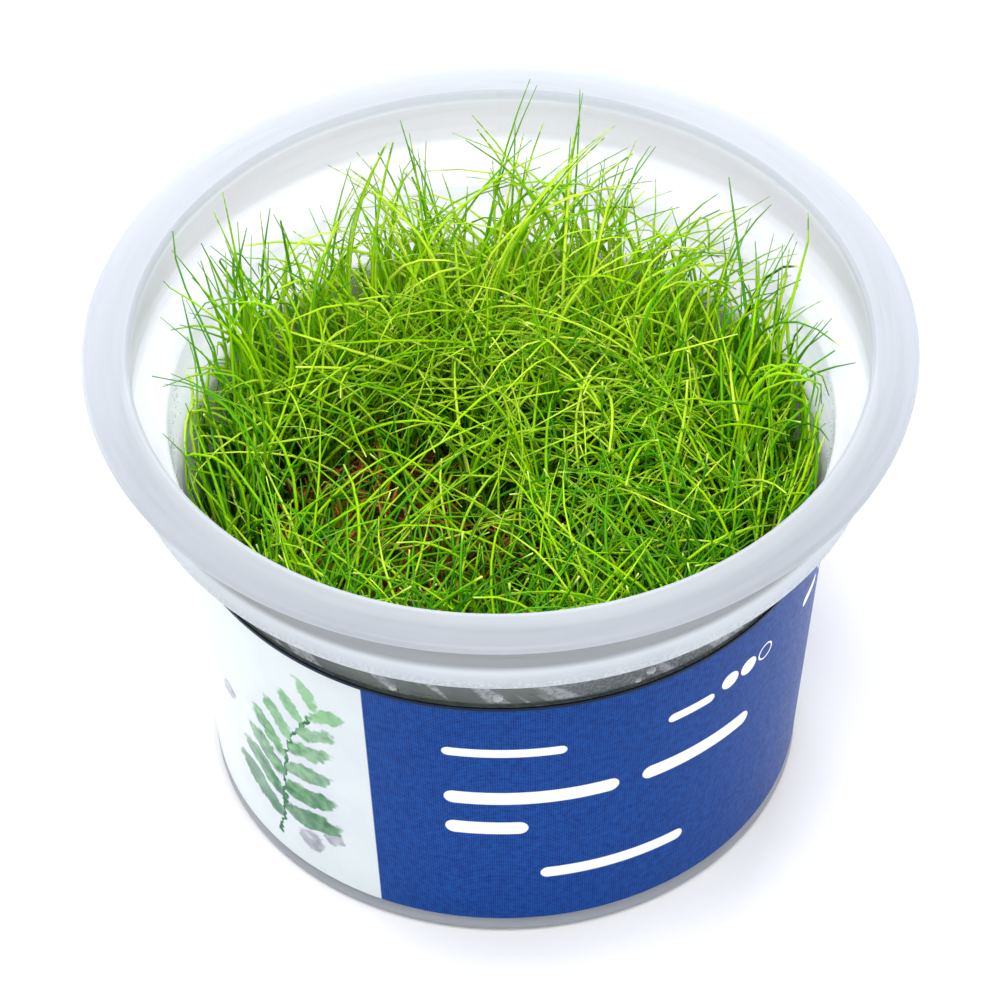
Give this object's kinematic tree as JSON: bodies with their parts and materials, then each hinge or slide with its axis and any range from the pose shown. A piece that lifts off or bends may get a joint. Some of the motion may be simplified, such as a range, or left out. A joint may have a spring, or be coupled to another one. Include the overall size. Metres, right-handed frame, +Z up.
{
  "type": "potted dwarf hairgrass",
  "caption": "Low dense turf of fine arching grass blades on a root mat, grown in a translucent round cup with a wide rim and a wrapped label.",
  "frame": {"origin": "middle of the cup's foot, on the surface that it stands on", "axes": "+Z up along the cup's axis; -Y towards the front of the label, which the picture's camera faces; +X to the right"},
  "size_m": [0.1, 0.1, 0.075],
  "materials": {
    "cup_plastic": "translucent milky moulded plastic, satin",
    "label_paper": "coated printed paper, deep blue with one pale panel",
    "root_fibre": "matted reddish-brown roots and runners",
    "grass": "fresh yellow-green blades, slightly glossy, darker at the tips"
  },
  "bodies": {
    "root": {"cup": "cup_plastic", "label": "label_paper", "root_mat": "root_fibre", "tuft_01": "grass", "tuft_02": "grass", "tuft_03": "grass", "tuft_04": "grass", "tuft_05": "grass", "tuft_06": "grass", "tuft_07": "grass", "tuft_08": "grass", "tuft_09": "grass", "tuft_10": "grass", "tuft_11": "grass", "tuft_12": "grass", "tuft_13": "grass", "tuft_14": "grass", "tuft_15": "grass", "tuft_16": "grass", "tuft_17": "grass", "tuft_18": "grass", "tuft_19": "grass", "tuft_20": "grass", "tuft_21": "grass", "tuft_22": "grass", "tuft_23": "grass", "tuft_24": "grass", "tuft_25": "grass", "tuft_26": "grass", "tuft_27": "grass", "tuft_28": "grass", "tuft_29": "grass", "tuft_30": "grass", "tuft_31": "grass", "tuft_32": "grass", "tuft_33": "grass", "tuft_34": "grass", "tuft_35": "grass", "tuft_36": "grass"}
  },
  "joints": []
}
